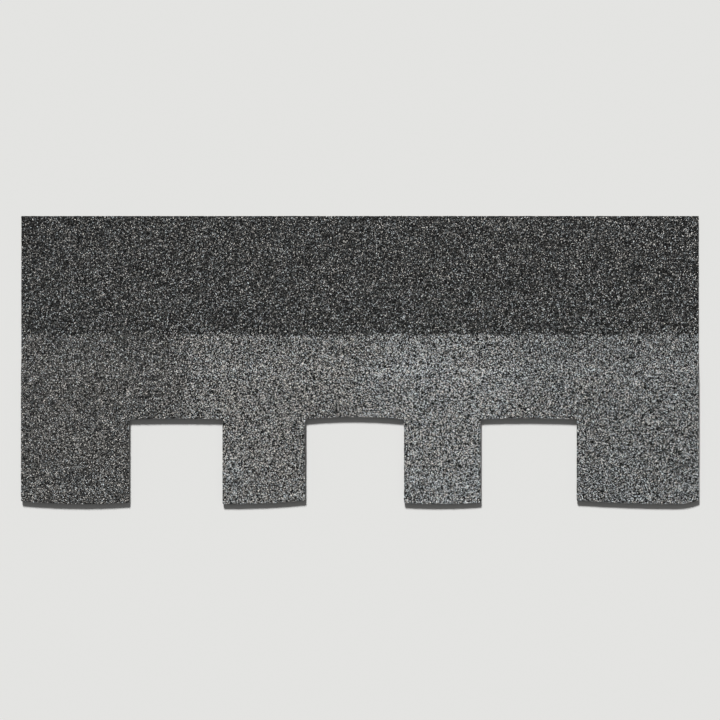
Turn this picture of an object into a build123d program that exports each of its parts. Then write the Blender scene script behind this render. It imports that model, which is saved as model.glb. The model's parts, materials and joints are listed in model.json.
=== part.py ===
from build123d import *

import os

os.makedirs("parts", exist_ok=True)

# One strip of a laminated, shake-look asphalt shingle, lying flat with its granules up.
# X runs along the strip, +Y up the roof's slope and +Z out of the roof.
# The origin is under the middle of the strip, on the surface that it lies on.

# Driving dimensions, in millimetres
strip_length = 1016.0
exposure = 127.0  # height of one course as it is laid, and depth of the cut-outs
head_lap = 51.0  # what is left above three courses
backing_lap = 51.0  # how far the backing reaches above the cut-outs
sheet_thickness = 2.7  # top sheet with its granules
backing_thickness = 2.6
backing_inset = 0.8  # how far the backing's cut edges stand back from the top sheet's
bend_run = 44.0  # distance in which the top sheet comes down from the backing
corner_radius = 2.0  # of the die that cuts the tabs

# Tabs and cut-outs in turn, from left to right. A fourth tab takes up the rest of the strip
tab_1_width = 162.0
cut_out_1_width = 140.0
tab_2_width = 124.0
cut_out_2_width = 148.0
tab_3_width = 115.0
cut_out_3_width = 144.0

# The butt edge of each tab bellies down to one low point, given as a share of the tab's width,
# and rises from there to its left and right corners
low_points = [0.58, 0.10, 0.45, 0.82]
left_rises = [4.2, 0.4, 1.6, 5.3]
right_rises = [2.6, 5.5, 2.4, 6.5]

# How far the head of each cut-out is arched
arch_heights = [0.8, 3.5, 1.5]

# Dashes of sealant, spread evenly under each tab
sealant_height = 0.7
sealant_edge = 18.0  # from the butt line to the dashes
dash_length = 38.0
dash_width = 13.0
dash_margin = 12.0  # from the tab's sides to its outer dashes
least_dash_gap = 12.0
dash_chamfer = 0.2

# Release film, let into the underside along the head edge
film_width = 36.0
film_thickness = 0.2

# Sizes and places that follow from them
tab_widths = [tab_1_width, tab_2_width, tab_3_width]
cut_out_widths = [cut_out_1_width, cut_out_2_width, cut_out_3_width]
tab_widths.append(strip_length - sum(tab_widths) - sum(cut_out_widths))
strip_height = 3 * exposure + head_lap
left_end = -strip_length / 2
butt_line = -strip_height / 2
head_line = strip_height / 2
cut_out_head = butt_line + exposure
backing_head = cut_out_head + backing_lap
seat_height = sealant_height + backing_thickness
dash_line = butt_line + sealant_edge + dash_width / 2
film_line = head_line - (dash_line - butt_line)

# The left side of each tab
tab_starts = [
    left_end + sum(tab_widths[:index]) + sum(cut_out_widths[:index])
    for index in range(len(tab_widths))
]


def draw_butt_edge(start, end, level, low_point, left_rise, right_rise):
    """Draw a tab's butt edge as two arcs that are level where they meet at its low point."""
    lowest = (start + low_point * (end - start), level)
    TangentArc(lowest, (start, level + left_rise), tangent=(-1, 0))
    TangentArc(lowest, (end, level + right_rise), tangent=(1, 0))


def draw_cut_out(left_foot, right_foot, head, arch_height):
    """Draw a cut-out's two sides, up from the corners of its tabs, and its arched head."""
    left_side = Line(left_foot, (left_foot[0], head))
    right_side = Line(right_foot, (right_foot[0], head))
    top_of_arch = ((left_foot[0] + right_foot[0]) / 2, head + arch_height)
    ThreePointArc(left_side @ 1, top_of_arch, right_side @ 1)


def die_cut_plan(upper_edge, inset=0):
    """Return a layer's plan, from upper_edge down to the tabs, its cut edges drawn in by inset."""
    starts = [start + inset for start in tab_starts]
    ends = [start + width - inset for start, width in zip(tab_starts, tab_widths)]
    level = butt_line + inset
    left_corners = [(start, level + rise) for start, rise in zip(starts, left_rises)]
    right_corners = [(end, level + rise) for end, rise in zip(ends, right_rises)]
    with BuildSketch() as plan:
        with BuildLine():
            for start, end, *shape in zip(starts, ends, low_points, left_rises, right_rises):
                draw_butt_edge(start, end, level, *shape)
            for left_foot, right_foot, arch_height in zip(right_corners, left_corners[1:], arch_heights):
                draw_cut_out(left_foot, right_foot, cut_out_head + inset, arch_height)
            upper_left = (starts[0], upper_edge)
            upper_right = (ends[-1], upper_edge)
            Polyline(left_corners[0], upper_left, upper_right, right_corners[-1])
        make_face()
        lowest_corner = level + min(left_rises + right_rises) / 2
        die_corners = plan.vertices().filter_by_position(
            Axis.Y, lowest_corner, upper_edge, inclusive=(True, False)
        )
        fillet(die_corners, radius=corner_radius)
    return plan.sketch


# Top sheet: flat over the backing, down in an S-bend of two equal arcs past the backing's head,
# and flat on the deck from there to its own head, then die-cut into tabs
with BuildPart() as top_sheet:
    with BuildSketch(Plane.YZ) as section:
        with BuildLine() as underside:
            on_backing = Line((butt_line, seat_height), (backing_head, seat_height))
            middle_of_bend = (backing_head + bend_run / 2, seat_height / 2)
            over = TangentArc(on_backing @ 1, middle_of_bend, tangent=on_backing % 1)
            down = TangentArc(over @ 1, (backing_head + bend_run, 0), tangent=over % 1)
            Line(down @ 1, (head_line, 0))
            offset(amount=sheet_thickness, side=Side.LEFT)
        make_face()
    extrude(amount=strip_length / 2, both=True)
    with BuildSketch() as sheet_plan:
        add(die_cut_plan(head_line))
    extrude(amount=seat_height + sheet_thickness, mode=Mode.INTERSECT)
    with BuildSketch() as film_recess:
        with Locations((0, film_line)):
            Rectangle(strip_length, film_width)
    extrude(amount=film_thickness, mode=Mode.SUBTRACT)
top_sheet.part.label = "top_sheet"
export_step(top_sheet.part, "parts/top_sheet.step")

# Backing: a narrower sheet with the same tabs, stuck to the top sheet's underside
with BuildPart() as backing_sheet:
    with BuildSketch(Plane.XY.offset(sealant_height)) as backing_plan:
        add(die_cut_plan(backing_head, backing_inset))
    extrude(amount=backing_thickness)
backing_sheet.part.label = "backing_sheet"
export_step(backing_sheet.part, "parts/backing_sheet.step")

# Sealant: a row of round-ended dashes under each tab
for number, (tab_start, tab_width) in enumerate(zip(tab_starts, tab_widths), start=1):
    dash_row = tab_width - 2 * dash_margin
    dash_count = max(1, int((dash_row + least_dash_gap) // (dash_length + least_dash_gap)))
    dash_pitch = (dash_row - dash_length) / max(1, dash_count - 1)
    with BuildPart() as sealant:
        with BuildSketch() as dashes:
            with Locations((tab_start + tab_width / 2, dash_line)):
                with GridLocations(dash_pitch, dash_width, dash_count, 1):
                    SlotOverall(dash_length, dash_width)
        extrude(amount=sealant_height)
        lower_edges = sealant.edges().group_by(Axis.Z)[0]
        chamfer(lower_edges, length=dash_chamfer)
    sealant.part.label = f"sealant_{number}"
    export_step(sealant.part, f"parts/{sealant.part.label}.step")

# Release film: keeps the sealant of the next strip in the pack from sticking here
with BuildPart() as release_film:
    with BuildSketch() as film_plan:
        with Locations((0, film_line)):
            Rectangle(strip_length, film_width)
    extrude(amount=film_thickness)
release_film.part.label = "release_film"
export_step(release_film.part, "parts/release_film.step")
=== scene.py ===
"""Looks of one laminated, shake-look asphalt shingle strip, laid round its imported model."""

import json
import math

import bmesh
import bpy
import numpy as np
from bpy.props import FloatProperty, FloatVectorProperty, IntProperty, PointerProperty
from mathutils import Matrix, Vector, noise
from mathutils.geometry import delaunay_2d_cdt


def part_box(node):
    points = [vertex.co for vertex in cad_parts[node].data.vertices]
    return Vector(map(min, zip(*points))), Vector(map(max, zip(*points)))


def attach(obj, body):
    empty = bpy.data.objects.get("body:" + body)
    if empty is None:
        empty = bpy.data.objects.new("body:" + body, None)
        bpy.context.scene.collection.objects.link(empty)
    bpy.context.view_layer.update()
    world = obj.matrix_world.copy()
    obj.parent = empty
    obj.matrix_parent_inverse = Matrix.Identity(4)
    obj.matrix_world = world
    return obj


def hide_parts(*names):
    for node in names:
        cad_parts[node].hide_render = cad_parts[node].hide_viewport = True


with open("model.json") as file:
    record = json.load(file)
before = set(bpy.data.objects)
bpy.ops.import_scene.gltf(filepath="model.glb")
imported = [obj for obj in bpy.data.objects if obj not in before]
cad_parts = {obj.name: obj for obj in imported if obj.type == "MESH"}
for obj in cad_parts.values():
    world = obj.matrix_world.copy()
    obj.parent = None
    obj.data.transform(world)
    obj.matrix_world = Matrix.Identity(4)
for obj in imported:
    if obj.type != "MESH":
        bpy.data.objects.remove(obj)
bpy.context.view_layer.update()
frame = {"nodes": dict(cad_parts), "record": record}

bl_info = {
    "name": "Asphalt shingle strip",
    "version": (1, 0, 0),
    "blender": (4, 5, 0),
    "location": "3D View > Sidebar > Shingle",
    "description": "Granules, cut edges, backing, sealant and film of one laminated shingle strip",
    "category": "Object",
}

MM = 0.001
ONLY_BODY = "root"

# The record's material slots
GRANULE_SLOT = "granules"
BACK_SLOT = "asphalt_back"

# Places that come from the frame, in metres
sheet_low, sheet_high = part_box("top_sheet")
dash_low, dash_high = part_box("sealant_1")
film_low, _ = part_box("release_film")
dash_line = (dash_low.y + dash_high.y) / 2
cut_outs = [opening["box_m"] for opening in frame["record"]["physics"]["openings"]]
cut_out_head = max(high[1] for _, high in cut_outs)
exposure = cut_out_head - sheet_low.y
blend_end = sheet_low.y + 2 * exposure

# How dark the blend of granules is along the strip, as shares of its length and of the way from
# the lightest blend to the darkest. Tab by tab: dark, medium, light and medium again
BLEND_ALONG = (
    (0.00, 1.0),
    (0.21, 1.0),
    (0.27, 0.36),
    (0.48, 0.36),
    (0.55, 0.0),
    (0.70, 0.0),
    (0.78, 0.4),
    (1.00, 0.4),
)

# Share of the granules that are cool rather than warm greys, along the strip
COOL_ALONG = (
    (0.00, 0.32),
    (0.21, 0.32),
    (0.27, 0.38),
    (0.48, 0.38),
    (0.55, 0.56),
    (0.70, 0.56),
    (0.78, 0.6),
    (1.00, 0.6),
)

# One slow noise moves the blends. Its rounds in a metre, and how far it moves them: along the strip
# as a share of its length, up the slope, in how dark they are and in their share of cool granules
DRIFT_SCALE = 14.0
DRIFT_ALONG = 0.05
DRIFT_UP = 12 * MM
DRIFT_DARKNESS = 0.35
DRIFT_COOL = 0.6

# The head lap's own mix: how far above the blends it begins and is reached, and its cool share
HEAD_BEGINS = 4 * MM
HEAD_REACHED = 9 * MM
HEAD_COOL = 0.45

# The greys of the granules, darkest first, as display levels
GREYS = (
    ("black", 13),
    ("soot", 28),
    ("charcoal", 46),
    ("slate", 67),
    ("iron", 90),
    ("pewter", 118),
    ("stone", 150),
    ("ash", 184),
    ("silver", 218),
    ("chalk", 248),
)

# The grey that more contrast leaves alone, as a share of the way from the darkest to the lightest
MIDDLE_GREY = 0.4

# Shares of a grey's red, green and blue in each of its tints
TINTS = (("warm", (1.015, 1.0, 0.973)), ("cool", (0.965, 1.0, 1.016)))

# The small granules of the bed: cells in a metre, and how far from a cell's edge, in shares of a
# cell, the dark gap fades out and the granule rises
BED_CELLS = 800.0
BED_GAP = (0.02, 0.14)
BED_SLOPE = (0.0, 0.25)

# How far down a cut edge the glass mat lies, as a share of the sheet's thickness
MAT_DEPTH = 0.55

# A granule on top is a low three-sided cone. In sizes of a granule, these are its radius, its height
# and how deep it is sunk. Then it is tilted, in radians, and stretched, and its corners are moved
CHIP_RADIUS = 1.45
CHIP_HEIGHT = 0.75
CHIP_SUNK = 0.33
CHIP_TILT = 0.28
CHIP_LEAST_STRETCH = (0.7, 0.7, 0.7)
CHIP_MOST_STRETCH = (1.3, 1.2, 1.2)
CHIP_KNOCK = 0.34

# Granules tried on a square metre, before those that are too close together are dropped
GRANULES_TRIED = 4e6

# What is added to the seed for each random choice, and from one part of the strip to the next
FIRST_GREY, SECOND_GREY, TURN, STRETCH, KNOCK, TINT = range(1, 7)
SEEDS_APART = 10

# The strip rests on its dashes and its film, and is free to rise in faint waves this far away
DASH_HOLD = 60 * MM
FILM_HOLD = 90 * MM

# Rounds of noise in a metre: of those waves, across and up, and of cut edges, along and down
WAVES_ACROSS = 7
WAVES_UP = 9
RIM_ROUNDS = 170
WALL_ROUNDS = 400

# Slices of the noise that the waves and the cut edges are taken from
WAVE_SLICE = 3.1
RIM_SLICE = 9.7

# How far inside the cut edges a sheet's grid and its inner ring begin, in widths of the pressed band
GRID_INSIDE = 1.7
RING_INSIDE = 0.7

# Rows of faces down a cut edge, and the material slots of a sheet's faces
WALL_ROWS = 3
UPPER_SLOT, CUT_SLOT, UNDER_SLOT = range(3)

# Metres within which corners, or points of the plan, are one, and decimals of a metre that matter
SAME_CORNER = 1e-6
SAME_POINT = 1e-7
DECIMALS = 6

# Stands in for a length of nothing in a division
NEXT_TO_NOTHING = 1e-15

# Least share of a face's normal that points up or down where the face counts as facing that way
LEAST_FACING = 0.5

# The triangulation's own number for triangles over all the points
WHOLE_HULL = 0

# Points are measured in this many batches, which saves memory
BATCHES = 40

# The stage, in metres, and the turn of its lamp to the left
FLOOR_REACH = 12.0
CAMERA_HEIGHT = 3.2
KEY_LAMP_TURN = math.radians(12)


def display_colour(red, green, blue):
    """Return a display colour, given from 0 to 255, in the linear units that shaders use."""

    def linear(level):
        share = level / 255
        return share / 12.92 if share <= 0.04045 else ((share + 0.055) / 1.055) ** 2.4

    return linear(red), linear(green), linear(blue)


# Settings


class SheetSettings(bpy.types.PropertyGroup):
    """Shape of the two sheets."""

    cell: FloatProperty(
        name="Cell",
        description="Spacing of the points across a sheet",
        default=8 * MM,
        min=2 * MM,
        unit="LENGTH",
    )
    edge_step: FloatProperty(
        name="Edge step",
        description="Spacing of the points along a cut edge",
        default=3 * MM,
        min=1 * MM,
        unit="LENGTH",
    )
    edge_band: FloatProperty(
        name="Edge band",
        description="Width of the band along a cut edge that the cutting die has pressed",
        default=1.6 * MM,
        min=0.5 * MM,
        unit="LENGTH",
    )
    edge_wander: FloatProperty(
        name="Edge wander",
        description="How far a cut edge strays from its line",
        default=0.25 * MM,
        unit="LENGTH",
    )
    lift: FloatProperty(
        name="Lift",
        description="How far the strip rises between the lines that it rests on",
        default=0.8 * MM,
        unit="LENGTH",
    )
    bed_depth: FloatProperty(
        name="Bed depth",
        description="How far the asphalt lies below the tops of the granules",
        default=0.5 * MM,
        unit="LENGTH",
    )
    asphalt_colour: FloatVectorProperty(
        name="Asphalt",
        description="Colour of the asphalt in a cut edge and on the underside",
        subtype="COLOR",
        default=display_colour(30, 29, 28),
        min=0,
        max=1,
    )
    mat_colour: FloatVectorProperty(
        name="Glass mat",
        description="Colour of the glass fibres that show in a cut edge",
        subtype="COLOR",
        default=display_colour(112, 106, 94),
        min=0,
        max=1,
    )
    dust_colour: FloatVectorProperty(
        name="Parting dust",
        description="Colour of the fine mineral on the underside",
        subtype="COLOR",
        default=display_colour(138, 135, 128),
        min=0,
        max=1,
    )


class GranuleSettings(bpy.types.PropertyGroup):
    """Size and spread of the granules."""

    spacing: FloatProperty(
        name="Spacing",
        description="Least distance between granules on the part that weathers",
        default=1.1 * MM,
        min=0.8 * MM,
        unit="LENGTH",
    )
    head_spacing: FloatProperty(
        name="Head spacing",
        description="Least distance between granules on the head lap",
        default=1.25 * MM,
        min=0.8 * MM,
        unit="LENGTH",
    )
    size: FloatProperty(
        name="Size",
        description="Half the width of a middling granule",
        default=0.84 * MM,
        unit="LENGTH",
    )
    weather_blend: FloatProperty(
        name="Weather blend",
        description="Power that draws down the tones of the part that weathers",
        default=1.49,
    )
    head_blend: FloatProperty(
        name="Head blend",
        description="Power that draws down the tones of the head lap",
        default=1.94,
    )
    evenness: FloatProperty(
        name="Evenness",
        description="How far the tones of the darkest blend are drawn together",
        default=0.85,
        subtype="FACTOR",
        min=0,
        max=1,
    )
    light_contrast: FloatProperty(
        name="Light contrast",
        description="How far the greys of the lightest blend are spread apart",
        default=1.6,
        min=0,
    )
    dark_contrast: FloatProperty(
        name="Dark contrast",
        description="How far the greys of the darkest blend are spread apart",
        default=1.2,
        min=0,
    )
    sparkle: FloatProperty(
        name="Sparkle",
        description="Share of the granules that are nearly white in any blend",
        default=0.02,
        subtype="FACTOR",
        min=0,
        max=1,
    )
    edge_margin: FloatProperty(
        name="Edge margin",
        description="Distance from a cut edge to the middles of the nearest granules",
        default=0.5 * MM,
        unit="LENGTH",
    )
    seed: IntProperty(
        name="Seed",
        description="Seed of the granules' places and tones",
        default=7,
    )


class SealantSettings(bpy.types.PropertyGroup):
    """Sealant and release film."""

    sealant_colour: FloatVectorProperty(
        name="Sealant",
        description="Colour of the sealant dashes",
        subtype="COLOR",
        default=display_colour(20, 20, 21),
        min=0,
        max=1,
    )
    film_colour: FloatVectorProperty(
        name="Film",
        description="Colour of the release film over the asphalt",
        subtype="COLOR",
        default=display_colour(92, 95, 100),
        min=0,
        max=1,
    )


class StageSettings(bpy.types.PropertyGroup):
    """Floor, lamp and camera."""

    floor_colour: FloatVectorProperty(
        name="Floor",
        description="Colour of the floor and of the air above it",
        subtype="COLOR",
        default=display_colour(226, 226, 224),
        min=0,
        max=1,
    )
    key_strength: FloatProperty(
        name="Key lamp",
        description="Strength of the lamp up the slope, which shades the butt edges",
        default=5.2,
    )
    key_height: FloatProperty(
        name="Key lamp's height",
        description="How high above the floor the key lamp's light comes from",
        subtype="ANGLE",
        default=math.radians(32),
    )
    key_softness: FloatProperty(
        name="Key lamp's softness",
        description="How wide the key lamp looks from the strip",
        subtype="ANGLE",
        default=math.radians(10),
    )
    air: FloatProperty(
        name="Air",
        description="Strength of the light from all round",
        default=0.14,
    )
    margin: FloatProperty(
        name="Margin",
        description="Share of the picture's width that the strip fills",
        default=0.94,
    )


# Node helpers


def named_socket(sockets, name):
    """Return the enabled socket of that name."""
    return next(one for one in sockets if one.enabled and one.name == name)


def put(tree, socket, value):
    """Link a socket to another, or give it a plain value."""
    if isinstance(value, bpy.types.NodeSocket):
        tree.links.new(value, socket)
    else:
        socket.default_value = value


def add_node(tree, kind, inputs=(), **settings):
    """Add a node, with its settings, and with its inputs set or linked by name."""
    node = tree.nodes.new(kind)
    for name, value in settings.items():
        setattr(node, name, value)
    for name, value in dict(inputs).items():
        put(tree, named_socket(node.inputs, name), value)
    return node


def calculate(tree, operation, *values):
    """Add a Math node and return its result."""
    node = tree.nodes.new("ShaderNodeMath")
    node.operation = operation
    for socket, value in zip(node.inputs, values):
        put(tree, socket, value)
    return node.outputs[0]


def off_from(tree, value, middle):
    """Return how far a number is from a middle one."""
    return calculate(tree, "ABSOLUTE", calculate(tree, "SUBTRACT", value, middle))


def remapped(tree, value, before, after=(0.0, 1.0), smooth=True):
    """Return a number moved from the range before to the range after."""
    ends = dict(zip(("From Min", "From Max", "To Min", "To Max"), (*before, *after)))
    node = add_node(
        tree,
        "ShaderNodeMapRange",
        {"Value": value, **ends},
        interpolation_type="SMOOTHSTEP" if smooth else "LINEAR",
    )
    return node.outputs["Result"]


def between(tree, share, first, second, kind="FLOAT"):
    """Return a number that goes from first to second as share goes from 0 to 1."""
    node = tree.nodes.new("ShaderNodeMix")
    node.data_type = kind
    for name, value in (("Factor", share), ("A", first), ("B", second)):
        put(tree, named_socket(node.inputs, name), value)
    return named_socket(node.outputs, "Result")


def mixed_colour(tree, share, first, second):
    """Return a colour that goes from first to second as share goes from 0 to 1."""
    return between(tree, share, first, second, "RGBA")


def curve_through(tree, value, points):
    """Return the height of a curve through the points, at value."""
    node = add_node(tree, "ShaderNodeFloatCurve", {"Value": value})
    curve = node.mapping.curves[0]
    while len(curve.points) < len(points):
        curve.points.new(0.5, 0.5)
    for point, place in zip(curve.points, points):
        point.location = place
        point.handle_type = "AUTO_CLAMPED"
    node.mapping.update()
    return node.outputs["Value"]


def noise_pattern(tree, place, scale, detail, roughness=0.5):
    """Return a cloudy pattern, from 0 to 1."""
    node = add_node(
        tree,
        "ShaderNodeTexNoise",
        {"Vector": place, "Scale": scale, "Detail": detail, "Roughness": roughness},
    )
    return node.outputs["Fac"]


def drawn_noise(tree, place, scales, detail):
    """Return a cloudy pattern with a scale of its own along each axis."""
    drawn = add_node(tree, "ShaderNodeMapping", {"Vector": place, "Scale": scales})
    return noise_pattern(tree, drawn.outputs["Vector"], scale=1.0, detail=detail)


def cell_pattern(tree, place, scale, result="Distance", **settings):
    """Return a result of a pattern of cells, such as the distance from the middle of the cell."""
    node = add_node(tree, "ShaderNodeTexVoronoi", {"Vector": place, "Scale": scale}, **settings)
    return node.outputs[result]


# Tones of the granules


def blend_at(tree, position):
    """Return how dark the blend of granules is at a place, how far the place is into the head
    lap's mix, and the share of cool granules there, each from 0 to 1."""
    place = add_node(tree, "ShaderNodeSeparateXYZ", {"Vector": position}).outputs
    across = remapped(tree, place["X"], (sheet_low.x, sheet_high.x), smooth=False)
    slow = noise_pattern(tree, position, DRIFT_SCALE, detail=2.0, roughness=0.6)
    drift = calculate(tree, "SUBTRACT", slow, 0.5)

    def drifting(amount, value):
        """Return a number moved by the drift."""
        return calculate(tree, "MULTIPLY_ADD", drift, amount, value)

    along = drifting(DRIFT_ALONG, across)
    up = drifting(DRIFT_UP, place["Y"])
    in_head = remapped(tree, up, (blend_end + HEAD_BEGINS, blend_end + HEAD_REACHED))
    dark = drifting(DRIFT_DARKNESS, curve_through(tree, along, BLEND_ALONG))
    cool = drifting(DRIFT_COOL, curve_through(tree, along, COOL_ALONG))
    return between(tree, in_head, dark, 1.0), in_head, between(tree, in_head, cool, HEAD_COOL)


def tone_at(tree, position, chances, settings):
    """Return which grey the granule at a place has, counted from the darkest, and whether its
    tint is cool, by three random numbers from 0 to 1. The darker the blend, the more its greys
    are drawn together. A few granules are nearly white in any blend."""
    darkness, in_head, cool_share = blend_at(tree, position)
    together = calculate(tree, "MULTIPLY", darkness, settings.evenness / 2)
    power = between(tree, in_head, settings.weather_blend, settings.head_blend)
    level = calculate(tree, "POWER", between(tree, together, chances[0], chances[1]), power)
    sparkles = calculate(tree, "GREATER_THAN", chances[1], 1 - settings.sparkle)
    level = calculate(tree, "MAXIMUM", level, sparkles)
    off_middle = calculate(tree, "SUBTRACT", level, MIDDLE_GREY)
    contrast = between(tree, darkness, settings.light_contrast, settings.dark_contrast)
    spread = calculate(tree, "MULTIPLY_ADD", off_middle, contrast, MIDDLE_GREY)
    counted = calculate(tree, "FLOOR", calculate(tree, "MULTIPLY", spread, float(len(GREYS))))
    grey = calculate(tree, "MINIMUM", calculate(tree, "MAXIMUM", counted, 0.0), len(GREYS) - 1.0)
    return grey, calculate(tree, "LESS_THAN", chances[2], cool_share)


# Materials


def opaque(colour):
    """Return a colour as a shader's socket takes it."""
    return (*colour, 1)


def tinted(level, tint):
    """Return the colour of a grey in a tint, for a shader."""
    return opaque(display_colour(*(level * share for share in tint)))


def new_material(name):
    """Return an empty node material, its tree and its shader."""
    material = bpy.data.materials.new(name)
    material.use_nodes = True
    tree = material.node_tree
    return material, tree, tree.nodes["Principled BSDF"]


def plain_material(name, colour, roughness, gloss):
    """Return a material of one colour all over."""
    material, _, shader = new_material(name)
    shader.inputs["Base Color"].default_value = colour
    shader.inputs["Roughness"].default_value = roughness
    shader.inputs["Specular IOR Level"].default_value = gloss
    return material


def object_place(tree):
    """Return the place on the object, in metres."""
    return tree.nodes.new("ShaderNodeTexCoord").outputs["Object"]


def dress(tree, shader, colour, roughness, height, distance):
    """Give a shader its colour and roughness, and raise it by height times distance."""
    put(tree, shader.inputs["Base Color"], colour)
    put(tree, shader.inputs["Roughness"], roughness)
    bump = add_node(
        tree, "ShaderNodeBump", {"Height": height, "Distance": distance, "Strength": 1.0}
    )
    put(tree, shader.inputs["Normal"], bump.outputs["Normal"])


def tone_material(name, level, tint):
    """Return the material of one tone of granule. Each granule is one plain ceramic colour, and
    the surface's colour is their mixture."""
    material = plain_material(f"granule_{name}", tinted(level, tint), roughness=0.7, gloss=0.08)
    material.diffuse_color = tinted(level, tint)
    return material


def grey_ramp(tree, share, tint):
    """Return the grey that lies at a share of the way along all of them, in a tint."""
    ramp = add_node(tree, "ShaderNodeValToRGB", {"Fac": share})
    ramp.color_ramp.interpolation = "CONSTANT"
    stops = ramp.color_ramp.elements
    while len(stops) < len(GREYS):
        stops.new(0.5)
    for index, (_, level) in enumerate(GREYS):
        stops[index].position = (index - 0.5) / len(GREYS) if index else 0
        stops[index].color = tinted(level, tint)
    return ramp.outputs["Color"]


def bed_material(settings):
    """Return the bed between the big granules: smaller ones, deeper in the asphalt."""
    material, tree, shader = new_material("granule_bed")
    place = object_place(tree)
    cell_colour = cell_pattern(tree, place, BED_CELLS, "Color")
    from_gap = cell_pattern(tree, place, BED_CELLS, feature="DISTANCE_TO_EDGE")
    chances = add_node(tree, "ShaderNodeSeparateColor", {"Color": cell_colour}).outputs
    grey, cool = tone_at(tree, place, chances, settings)
    share = calculate(tree, "DIVIDE", grey, float(len(GREYS)))
    granules = mixed_colour(tree, cool, *(grey_ramp(tree, share, tint) for _, tint in TINTS))
    asphalt = opaque(display_colour(9, 9, 9))
    colour = mixed_colour(tree, remapped(tree, from_gap, BED_GAP, (1.0, 0.0)), granules, asphalt)
    height = remapped(tree, from_gap, BED_SLOPE)
    dress(tree, shader, colour, roughness=0.75, height=height, distance=0.3 * MM)
    shader.inputs["Specular IOR Level"].default_value = 0.1
    return material


def cut_material(settings):
    """Return a cut edge: black asphalt with mineral filler, and the glass mat half way down. It
    is painted darkest at the two faces of its sheet, partly painted shade in the crevice and
    partly the dark bitumen that bonds the sheets, so that the seam between two sheets shows."""
    material, tree, shader = new_material("asphalt_cut")
    place = object_place(tree)
    depth = add_node(tree, "ShaderNodeAttribute", attribute_name="depth").outputs["Fac"]
    strands = drawn_noise(tree, place, scales=(260.0, 260.0, 900.0), detail=3.0)
    in_mat = remapped(tree, off_from(tree, depth, MAT_DEPTH), (0.05, 0.16), (1.0, 0.0))
    torn = calculate(tree, "MULTIPLY", in_mat, remapped(tree, strands, (0.42, 0.62)))
    specks = remapped(tree, cell_pattern(tree, place, scale=1500.0), (0.12, 0.3), (0.6, 0.0))
    filler = opaque(display_colour(104, 102, 98))
    filled = mixed_colour(tree, specks, opaque(settings.asphalt_colour), filler)
    fibrous = mixed_colour(tree, torn, filled, opaque(settings.mat_colour))
    # Painted shade at the seam: near black at both faces of each sheet, partly the bonding bitumen
    seam_shade_and_bitumen = opaque(display_colour(8, 8, 8))
    clear_of_seam_shade = remapped(tree, off_from(tree, depth, 0.5), (0.38, 0.49), (1.0, 0.0))
    colour = mixed_colour(tree, clear_of_seam_shade, seam_shade_and_bitumen, fibrous)
    roughness = remapped(tree, strands, (0.3, 0.7), (0.45, 0.85))
    height = calculate(tree, "MULTIPLY", strands, clear_of_seam_shade)
    dress(tree, shader, colour, roughness, height, distance=0.5 * MM)
    return material


def back_material(settings):
    """Return an underside: asphalt pressed full of fine mineral, rubbed off in places."""
    material, tree, shader = new_material("asphalt_back")
    place = object_place(tree)
    grain = noise_pattern(tree, place, scale=900.0, detail=2.0)
    patches = noise_pattern(tree, place, scale=22.0, detail=5.0, roughness=0.62)
    rolled = drawn_noise(tree, place, scales=(6.0, 160.0, 60.0), detail=3.0)
    dusted = remapped(tree, cell_pattern(tree, place, scale=1700.0), (0.18, 0.5), (1.0, 0.0))
    wear = calculate(tree, "MULTIPLY_ADD", rolled, 0.5, patches)
    unworn = remapped(tree, wear, (0.5, 0.95), (0.45, 1.0))
    cover = calculate(tree, "MULTIPLY", dusted, unworn)
    asphalt = opaque(settings.asphalt_colour)
    colour = mixed_colour(tree, cover, asphalt, opaque(settings.dust_colour))
    roughness = remapped(tree, cover, (0.0, 1.0), (0.55, 0.9))
    height = calculate(tree, "MULTIPLY_ADD", dusted, 0.6, grain)
    dress(tree, shader, colour, roughness, height, distance=0.25 * MM)
    return material


def sealant_material(settings):
    """Return soft black sealant, glossy and dimpled."""
    material, tree, shader = new_material("sealant_black")
    place = object_place(tree)
    dimples = noise_pattern(tree, place, scale=240.0, detail=3.0)
    specks = remapped(tree, cell_pattern(tree, place, scale=900.0), (0.05, 0.14), (0.5, 0.0))
    dust = opaque(display_colour(96, 94, 90))
    colour = mixed_colour(tree, specks, opaque(settings.sealant_colour), dust)
    roughness = remapped(tree, dimples, (0.3, 0.7), (0.16, 0.42))
    dress(tree, shader, colour, roughness, dimples, distance=0.4 * MM)
    return material


def film_material(settings):
    """Return thin, clear, glossy film over asphalt, hazy where it sticks less closely."""
    material, tree, shader = new_material("film_gloss")
    place = object_place(tree)
    stuck = noise_pattern(tree, place, scale=45.0, detail=5.0)
    haze = opaque(display_colour(140, 143, 148))
    hazy = remapped(tree, stuck, (0.2, 0.9), (0.0, 0.3))
    colour = mixed_colour(tree, hazy, opaque(settings.film_colour), haze)
    roughness = remapped(tree, stuck, (0.3, 0.7), (0.14, 0.3))
    creases = drawn_noise(tree, place, scales=(60.0, 9.0, 1.0), detail=2.0)
    dress(tree, shader, colour, roughness, creases, distance=0.6 * MM)
    return material


# Shapes


def lift_at(x, y, settings):
    """Return how far the strip rises off the floor at a place, between the lines it rests on."""
    from_dashes = abs(y - dash_line) / DASH_HOLD
    from_film = max(0.0, (film_low.y - y) / FILM_HOLD)
    free = min(1.0, from_dashes, from_film)
    swell = 0.5 + 0.5 * noise.noise(Vector((x * WAVES_ACROSS, y * WAVES_UP, WAVE_SLICE)))
    return settings.lift * free * free * swell


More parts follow.
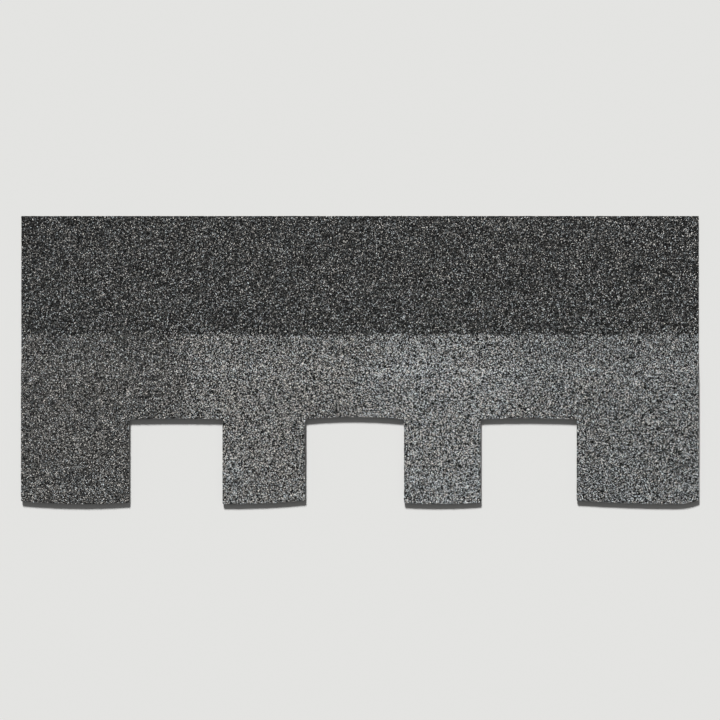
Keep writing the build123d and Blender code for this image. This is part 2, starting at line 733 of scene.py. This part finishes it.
def plan_outline(node):
    """Return the corners of a node's plan, in order round it."""
    shape = bmesh.new()
    shape.from_mesh(frame["nodes"][node].data)
    bmesh.ops.remove_doubles(shape, verts=shape.verts, dist=SAME_CORNER)
    shape.normal_update()
    upward = {face for face in shape.faces if face.normal.z > LEAST_FACING}
    onward = {}
    for face in upward:
        for loop in face.loops:
            if sum(neighbour in upward for neighbour in loop.edge.link_faces) == 1:
                onward[loop.vert] = loop.link_loop_next.vert
    corners = [min(onward, key=lambda vert: (vert.co.x, vert.co.y))]
    while onward[corners[-1]] is not corners[0]:
        corners.append(onward[corners[-1]])
    outline = np.array([vert.co[:2] for vert in corners])
    shape.free()
    return outline


def height_profile(node, facing):
    """Return the places up the slope, and the heights there, of the faces that face up or down."""
    mesh = frame["nodes"][node].data
    heights = {}
    for face in mesh.polygons:
        if face.normal.z * facing > LEAST_FACING:
            for index in face.vertices:
                _, y, z = mesh.vertices[index].co
                heights[round(y, DECIMALS)] = z
    places = sorted(heights)
    return np.array(places), np.array([heights[place] for place in places])


def ragged(outline, settings):
    """Return the outline with points all along it, which stray a little as a die's cut does, and
    the same points drawn in by the width of the pressed band."""
    points = []
    inner = []
    for start, end in zip(outline, np.roll(outline, -1, axis=0)):
        along = end - start
        length = math.hypot(*along)
        outward = np.array([along[1], -along[0]]) / length
        steps = max(1, math.ceil(length / settings.edge_step))
        for step in range(steps):
            point = start + along * step / steps
            stray = noise.noise(Vector((point[0] * RIM_ROUNDS, point[1] * RIM_ROUNDS, RIM_SLICE)))
            points.append(point + outward * stray * settings.edge_wander)
            inner.append(point - outward * settings.edge_band)
    return np.array(points), np.array(inner)


def edge_distance(points, outline):
    """Return how far inside the outline each point lies, or less than nothing outside it."""
    x, y = points[:, :1], points[:, 1:]
    start, end = outline, np.roll(outline, -1, axis=0)
    crosses = (start[:, 1] > y) != (end[:, 1] > y)
    rise = np.where(start[:, 1] == end[:, 1], 1.0, end[:, 1] - start[:, 1])
    meets = start[:, 0] + (y - start[:, 1]) * (end[:, 0] - start[:, 0]) / rise
    odd = np.sum(crosses & (x < meets), axis=1) % 2 == 1
    along = end - start
    squared = np.maximum((along**2).sum(axis=1), NEXT_TO_NOTHING)
    share = ((x - start[:, 0]) * along[:, 0] + (y - start[:, 1]) * along[:, 1]) / squared
    share = np.clip(share, 0, 1)
    away = np.hypot(x - start[:, 0] - share * along[:, 0], y - start[:, 1] - share * along[:, 1])
    return np.where(odd, 1, -1) * away.min(axis=1)


def all_edge_distances(points, outline):
    """Return edge_distance for many points, a batch at a time."""
    batches = np.array_split(points, BATCHES)
    return np.concatenate([edge_distance(batch, outline) for batch in batches])


def meshed_plan(node, settings):
    """Return the points of a node's plan, the triangles between them, the outline's points and
    how far each point lies from it."""
    outline, ring = ragged(plan_outline(node), settings)
    low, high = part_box(node)
    across = np.arange(low.x + settings.cell / 2, high.x, settings.cell)
    up = np.arange(low.y + settings.cell / 2, high.y, settings.cell)
    steps, _ = height_profile(node, -1)
    up = np.unique(np.concatenate([up, steps[(steps > low.y) & (steps < high.y)]]))
    grid = np.array([(x, y) for y in up for x in across])
    grid = grid[all_edge_distances(grid, outline) > GRID_INSIDE * settings.edge_band]
    ring = ring[all_edge_distances(ring, outline) > RING_INSIDE * settings.edge_band]
    flat = [Vector(point) for point in np.concatenate([outline, ring, grid])]
    placed, _, triangles, came_from, _, faces = delaunay_2d_cdt(
        flat, [], [list(range(len(outline)))], WHOLE_HULL, SAME_POINT, True
    )
    within = [triangle for triangle, face in zip(triangles, faces) if face]
    rim = np.full(len(outline), -1)
    for index, sources in enumerate(came_from):
        for source in sources:
            if source < len(outline):
                rim[source] = index
    points = np.array([point[:] for point in placed])
    from_edge = np.maximum(all_edge_distances(points, outline), 0)
    from_edge[rim] = 0
    return points, np.array(within), rim, from_edge


def sheet_sides(node, settings, drop=0.0):
    """Return the points of a sheet's upper side, lowered by drop, and of its underside, the
    triangles between them, the outline's points and how far each point lies from a cut edge."""
    plan, triangles, rim, from_edge = meshed_plan(node, settings)
    lifts = np.array([lift_at(x, y, settings) for x, y in plan])
    upper = np.interp(plan[:, 1], *height_profile(node, 1)) - drop + lifts
    lower = np.interp(plan[:, 1], *height_profile(node, -1)) + lifts
    top = np.column_stack([plan, upper])
    bottom = np.column_stack([plan, lower])
    return top, bottom, triangles, rim, from_edge


def sheet_mesh(node, settings, drop=0.0):
    """Return a closed mesh of a sheet, its upper side lowered by drop, with the depth of each
    point in the sheet kept for its cut edge."""
    top, bottom, triangles, rim, _ = sheet_sides(node, settings, drop)
    count = len(top)
    along = top[np.roll(rim, -1), :2] - top[rim, :2]
    outward = np.column_stack([along[:, 1], -along[:, 0]])
    outward /= np.maximum(np.hypot(*outward.T), NEXT_TO_NOTHING)[:, None]
    points = [top, bottom]
    depths = [np.zeros(count), np.ones(count)]
    rings = [rim]
    for row in range(1, WALL_ROWS):
        depth = row / WALL_ROWS
        wall = top[rim] + (bottom[rim] - top[rim]) * depth
        stray = np.array([noise.noise(Vector(point) * WALL_ROUNDS) for point in wall.tolist()])
        wall[:, :2] += outward * stray[:, None] * settings.edge_wander
        rings.append(sum(len(part) for part in points) + np.arange(len(rim)))
        points.append(wall)
        depths.append(np.full(len(rim), depth))
    rings.append(rim + count)
    faces = triangles.tolist() + (triangles[:, ::-1] + count).tolist()
    slots = [UPPER_SLOT] * len(triangles) + [UNDER_SLOT] * len(triangles)
    for above, below in zip(rings, rings[1:]):
        walls = np.column_stack([above, below, np.roll(below, -1), np.roll(above, -1)])
        faces += walls.tolist()
        slots += [CUT_SLOT] * len(walls)
    mesh = bpy.data.meshes.new(node)
    mesh.from_pydata(np.concatenate(points).tolist(), [], faces)
    mesh.polygons.foreach_set("material_index", slots)
    mesh.attributes.new("depth", "FLOAT", "POINT").data.foreach_set("value", np.concatenate(depths))
    mesh.update()
    return mesh


def new_piece(name, mesh, materials, slot, *nodes):
    """Make a piece of the strip from a mesh, in place of some nodes of the frame."""
    mesh.name = name
    for material in materials:
        mesh.materials.append(material)
    piece = bpy.data.objects.new(name, mesh)
    bpy.context.scene.collection.objects.link(piece)
    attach(piece, ONLY_BODY)
    if nodes:
        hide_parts(*nodes)
    return piece


# Granules


def random_number(tree, seed, choice, low=0.0, high=1.0):
    """Return a random number, or a random vector, for each point and choice."""
    node = tree.nodes.new("FunctionNodeRandomValue")
    node.data_type = "FLOAT_VECTOR" if isinstance(low, tuple) else "FLOAT"
    own_seed = calculate(tree, "ADD", seed, choice)
    for name, value in (("Min", low), ("Max", high), ("Seed", own_seed)):
        put(tree, named_socket(node.inputs, name), value)
    return named_socket(node.outputs, "Value")


def scaled(tree, vector, scale):
    """Return a vector times a number."""
    node = add_node(
        tree, "ShaderNodeVectorMath", {"Vector": vector, "Scale": scale}, operation="SCALE"
    )
    return node.outputs["Vector"]


def granule_tree(materials, settings):
    """Build the tree that strews granules over a surface, each of one tone."""
    tree = bpy.data.node_groups.new("Strewn granules", "GeometryNodeTree")
    face = tree.interface
    face.new_socket("Geometry", in_out="INPUT", socket_type="NodeSocketGeometry")
    for name in ("Spacing", "Size"):
        face.new_socket(name, in_out="INPUT", socket_type="NodeSocketFloat")
    face.new_socket("Seed", in_out="INPUT", socket_type="NodeSocketInt")
    face.new_socket("Geometry", in_out="OUTPUT", socket_type="NodeSocketGeometry")
    given = tree.nodes.new("NodeGroupInput").outputs
    result = tree.nodes.new("NodeGroupOutput")

    strewn = add_node(tree, "GeometryNodeDistributePointsOnFaces", distribute_method="POISSON")
    put(tree, strewn.inputs["Mesh"], given["Geometry"])
    put(tree, strewn.inputs["Distance Min"], given["Spacing"])
    put(tree, strewn.inputs["Density Max"], GRANULES_TRIED)
    put(tree, strewn.inputs["Seed"], given["Seed"])
    inset = add_node(tree, "GeometryNodeInputNamedAttribute", {"Name": "from_edge"}).outputs
    at_edge = calculate(tree, "LESS_THAN", inset["Attribute"], settings.edge_margin)
    kept_points = add_node(
        tree,
        "GeometryNodeDeleteGeometry",
        {"Geometry": strewn.outputs["Points"], "Selection": at_edge},
        domain="POINT",
    )

    place = tree.nodes.new("GeometryNodeInputPosition").outputs["Position"]
    seed = given["Seed"]
    chances = [random_number(tree, seed, choice) for choice in (FIRST_GREY, SECOND_GREY, TINT)]
    grey, cool = tone_at(tree, place, chances, settings)
    tone = calculate(tree, "MULTIPLY_ADD", cool, float(len(GREYS)), grey)
    marked = add_node(
        tree,
        "GeometryNodeStoreNamedAttribute",
        {"Geometry": kept_points.outputs["Geometry"], "Name": "tone", "Value": tone},
        domain="POINT",
    )

    corners = {"Vertices": 3, "Radius Top": 0.0, "Radius Bottom": CHIP_RADIUS}
    chip = add_node(
        tree, "GeometryNodeMeshCone", {**corners, "Depth": CHIP_HEIGHT}, fill_type="NGON"
    )
    sunk = add_node(
        tree,
        "GeometryNodeTransform",
        {"Geometry": chip.outputs["Mesh"], "Translation": (0, 0, -CHIP_SUNK)},
    )
    faceted = add_node(
        tree,
        "GeometryNodeSetShadeSmooth",
        {"Geometry": sunk.outputs["Geometry"], "Shade Smooth": False},
    )
    least_turn = (-CHIP_TILT, -CHIP_TILT, 0.0)
    most_turn = (CHIP_TILT, CHIP_TILT, math.tau)
    stretch = random_number(tree, seed, STRETCH, CHIP_LEAST_STRETCH, CHIP_MOST_STRETCH)
    laid = add_node(
        tree,
        "GeometryNodeInstanceOnPoints",
        {
            "Points": marked.outputs["Geometry"],
            "Instance": faceted.outputs["Geometry"],
            "Rotation": random_number(tree, seed, TURN, least_turn, most_turn),
            "Scale": scaled(tree, stretch, given["Size"]),
        },
    )
    real = add_node(tree, "GeometryNodeRealizeInstances", {"Geometry": laid.outputs["Instances"]})
    knock = random_number(tree, seed, KNOCK, (-CHIP_KNOCK,) * 3, (CHIP_KNOCK,) * 3)
    broken = add_node(
        tree,
        "GeometryNodeSetPosition",
        {"Geometry": real.outputs["Geometry"], "Offset": scaled(tree, knock, given["Size"])},
    )
    geometry = broken.outputs["Geometry"]
    kept = add_node(tree, "GeometryNodeInputNamedAttribute", {"Name": "tone"}).outputs["Attribute"]
    for index, material in enumerate(materials):
        same = add_node(
            tree,
            "FunctionNodeCompare",
            {"A": kept, "B": float(index), "Epsilon": 0.5},
            operation="EQUAL",
        )
        dressed = add_node(
            tree,
            "GeometryNodeSetMaterial",
            {"Geometry": geometry, "Selection": same.outputs["Result"], "Material": material},
        )
        geometry = dressed.outputs["Geometry"]
    put(tree, result.inputs["Geometry"], geometry)
    return tree


def strew(name, top, from_edge, triangles, tree, spacing, size, seed):
    """Strew granules over some triangles of the sheet's upper side, and return their mesh."""
    used, renumbered = np.unique(triangles, return_inverse=True)
    ground = bpy.data.meshes.new(name)
    ground.from_pydata(top[used].tolist(), [], renumbered.reshape(-1, 3).tolist())
    inset = ground.attributes.new("from_edge", "FLOAT", "POINT")
    inset.data.foreach_set("value", from_edge[used])
    holder = bpy.data.objects.new(name, ground)
    bpy.context.scene.collection.objects.link(holder)
    modifier = holder.modifiers.new("Granules", "NODES")
    modifier.node_group = tree
    given = {"Spacing": spacing, "Size": size, "Seed": seed}
    for socket in tree.interface.items_tree:
        if socket.in_out == "INPUT" and socket.name in given:
            modifier[socket.identifier] = given[socket.name]
    bpy.context.view_layer.update()
    graph = bpy.context.evaluated_depsgraph_get()
    mesh = bpy.data.meshes.new_from_object(holder.evaluated_get(graph))
    holder.modifiers.clear()
    bpy.data.objects.remove(holder)
    bpy.data.meshes.remove(ground)
    for attribute in ("tone", "from_edge"):
        mesh.attributes.remove(mesh.attributes[attribute])
    return mesh


def regions(centres):
    """Split the middles of the sheet's triangles into the parts that its granules are made in."""
    x, y = centres[:, 0], centres[:, 1]
    parts = {}
    sides = [sheet_low.x] + [(low[0] + high[0]) / 2 for low, high in cut_outs] + [sheet_high.x]
    tabs = y < cut_out_head
    for number, (left, right) in enumerate(zip(sides, sides[1:]), start=1):
        parts[f"granules_tab_{number}"] = tabs & (x >= left) & (x < right)
    band = ~tabs & (y < blend_end)
    head = y >= blend_end
    for side, half in (("left", x < 0), ("right", x >= 0)):
        parts[f"granules_band_{side}"] = band & half
        parts[f"granules_head_{side}"] = head & half
    return parts


# Stage


def add_floor(settings):
    """Add a wide, plain floor just under the strip."""
    colour = opaque(settings.floor_colour)
    floor_material = plain_material("pale_floor", colour, roughness=1.0, gloss=0.0)
    corners = [(-1, -1, 0), (1, -1, 0), (1, 1, 0), (-1, 1, 0)]
    mesh = bpy.data.meshes.new("floor")
    mesh.from_pydata([Vector(corner) * FLOOR_REACH for corner in corners], [], [(0, 1, 2, 3)])
    mesh.materials.append(floor_material)
    floor = bpy.data.objects.new("floor", mesh)
    bpy.context.scene.collection.objects.link(floor)


def add_air(settings):
    """Light the scene evenly from all round, and show the camera a pale background."""
    world = bpy.data.worlds.new("air")
    bpy.context.scene.world = world
    world.use_nodes = True
    tree = world.node_tree
    even = tree.nodes["Background"]
    even.inputs["Color"].default_value = (1, 1, 1, 1)
    even.inputs["Strength"].default_value = settings.air
    seen = add_node(tree, "ShaderNodeBackground", {"Color": opaque(settings.floor_colour)})
    ray = tree.nodes.new("ShaderNodeLightPath").outputs
    shown = calculate(tree, "MAXIMUM", ray["Is Camera Ray"], ray["Is Glossy Ray"])
    shown = calculate(tree, "MAXIMUM", shown, ray["Is Transmission Ray"])
    pick = tree.nodes.new("ShaderNodeMixShader")
    for socket, value in zip(pick.inputs, (shown, even.outputs[0], seen.outputs[0])):
        put(tree, socket, value)
    put(tree, tree.nodes["World Output"].inputs["Surface"], pick.outputs[0])


def add_key_lamp(settings):
    """Add a lamp far up the slope and a little to the left."""
    light = bpy.data.lights.new("key_lamp", "SUN")
    light.energy = settings.key_strength
    light.angle = settings.key_softness
    lamp = bpy.data.objects.new("key_lamp", light)
    lamp.rotation_euler = (settings.key_height - math.pi / 2, 0, KEY_LAMP_TURN)
    bpy.context.scene.collection.objects.link(lamp)


def add_camera(settings):
    """Look straight down on the strip from far off, with its head edge at the top."""
    camera = bpy.data.cameras.new("camera")
    width = (sheet_high.x - sheet_low.x) / settings.margin
    camera.lens = camera.sensor_width * CAMERA_HEIGHT / width
    holder = bpy.data.objects.new("camera", camera)
    holder.location = (0, 0, CAMERA_HEIGHT)
    bpy.context.scene.collection.objects.link(holder)
    bpy.context.scene.camera = holder


# Operators and panel


class SHINGLE_OT_sheets(bpy.types.Operator):
    """Make the top sheet and its backing, with ragged cut edges"""

    bl_idname = "shingle.sheets"
    bl_label = "Make the sheets"

    def execute(self, context):
        sheets = context.scene.shingle_sheets
        bed = bed_material(context.scene.shingle_granules)
        cut = cut_material(sheets)
        back = back_material(sheets)
        mesh = sheet_mesh("top_sheet", sheets, sheets.bed_depth)
        new_piece("top_sheet_body", mesh, (bed, cut, back), GRANULE_SLOT, "top_sheet")
        mesh = sheet_mesh("backing_sheet", sheets)
        new_piece("backing_sheet_body", mesh, (back, cut, back), BACK_SLOT, "backing_sheet")
        return {"FINISHED"}


class SHINGLE_OT_granules(bpy.types.Operator):
    """Strew granules over the tabs, the band above them and the head lap"""

    bl_idname = "shingle.granules"
    bl_label = "Strew the granules"

    def execute(self, context):
        sheets = context.scene.shingle_sheets
        settings = context.scene.shingle_granules
        top, _, triangles, _, from_edge = sheet_sides("top_sheet", sheets, sheets.bed_depth)
        materials = [
            tone_material(f"{tint}_{grey}", level, shares)
            for tint, shares in TINTS
            for grey, level in GREYS
        ]
        tree = granule_tree(materials, settings)
        centres = top[triangles].mean(axis=1)
        for number, (name, chosen) in enumerate(regions(centres).items()):
            spacing = settings.head_spacing if "head" in name else settings.spacing
            seed = settings.seed + SEEDS_APART * number
            part = triangles[chosen]
            mesh = strew(name, top, from_edge, part, tree, spacing, settings.size, seed)
            new_piece(name, mesh, (), GRANULE_SLOT)
        return {"FINISHED"}


class SHINGLE_OT_sealant(bpy.types.Operator):
    """Finish the sealant dashes and the release film"""

    bl_idname = "shingle.sealant"
    bl_label = "Finish the sealant and the film"

    def execute(self, context):
        settings = context.scene.shingle_sealant
        sealant = sealant_material(settings)
        for name, node in frame["nodes"].items():
            if name.startswith("sealant_"):
                node.material_slots[0].material = sealant
        frame["nodes"]["release_film"].material_slots[0].material = film_material(settings)
        return {"FINISHED"}


class SHINGLE_OT_stage(bpy.types.Operator):
    """Set out the floor, the lamp and the camera straight above the strip"""

    bl_idname = "shingle.stage"
    bl_label = "Set out the stage"

    def execute(self, context):
        settings = context.scene.shingle_stage
        add_floor(settings)
        add_air(settings)
        add_key_lamp(settings)
        add_camera(settings)
        context.scene.view_settings.view_transform = "Standard"
        return {"FINISHED"}


class VIEW3D_PT_shingle(bpy.types.Panel):
    """Settings and steps of the strip"""

    bl_label = "Shingle strip"
    bl_space_type = "VIEW_3D"
    bl_region_type = "UI"
    bl_category = "Shingle"

    def draw(self, context):
        for name in SETTINGS:
            group = getattr(context.scene, name)
            box = self.layout.box()
            for prop in group.bl_rna.properties:
                if not prop.is_readonly and prop.identifier != "name":
                    box.prop(group, prop.identifier)
        for operator in OPERATORS:
            self.layout.operator(operator.bl_idname)


SETTINGS = {
    "shingle_sheets": SheetSettings,
    "shingle_granules": GranuleSettings,
    "shingle_sealant": SealantSettings,
    "shingle_stage": StageSettings,
}
OPERATORS = (SHINGLE_OT_sheets, SHINGLE_OT_granules, SHINGLE_OT_sealant, SHINGLE_OT_stage)


def register():
    """Add the settings, the operators and the panel."""
    for name, group in SETTINGS.items():
        bpy.utils.register_class(group)
        setattr(bpy.types.Scene, name, PointerProperty(type=group))
    for operator in OPERATORS:
        bpy.utils.register_class(operator)
    bpy.utils.register_class(VIEW3D_PT_shingle)


def unregister():
    """Take the panel, the operators and the settings away."""
    bpy.utils.unregister_class(VIEW3D_PT_shingle)
    for operator in reversed(OPERATORS):
        bpy.utils.unregister_class(operator)
    for name, group in SETTINGS.items():
        delattr(bpy.types.Scene, name)
        bpy.utils.unregister_class(group)


def main():
    """Make the strip and its stage."""
    register()
    bpy.ops.shingle.sheets()
    bpy.ops.shingle.granules()
    bpy.ops.shingle.sealant()
    bpy.ops.shingle.stage()


if __name__ == "__main__":
    main()
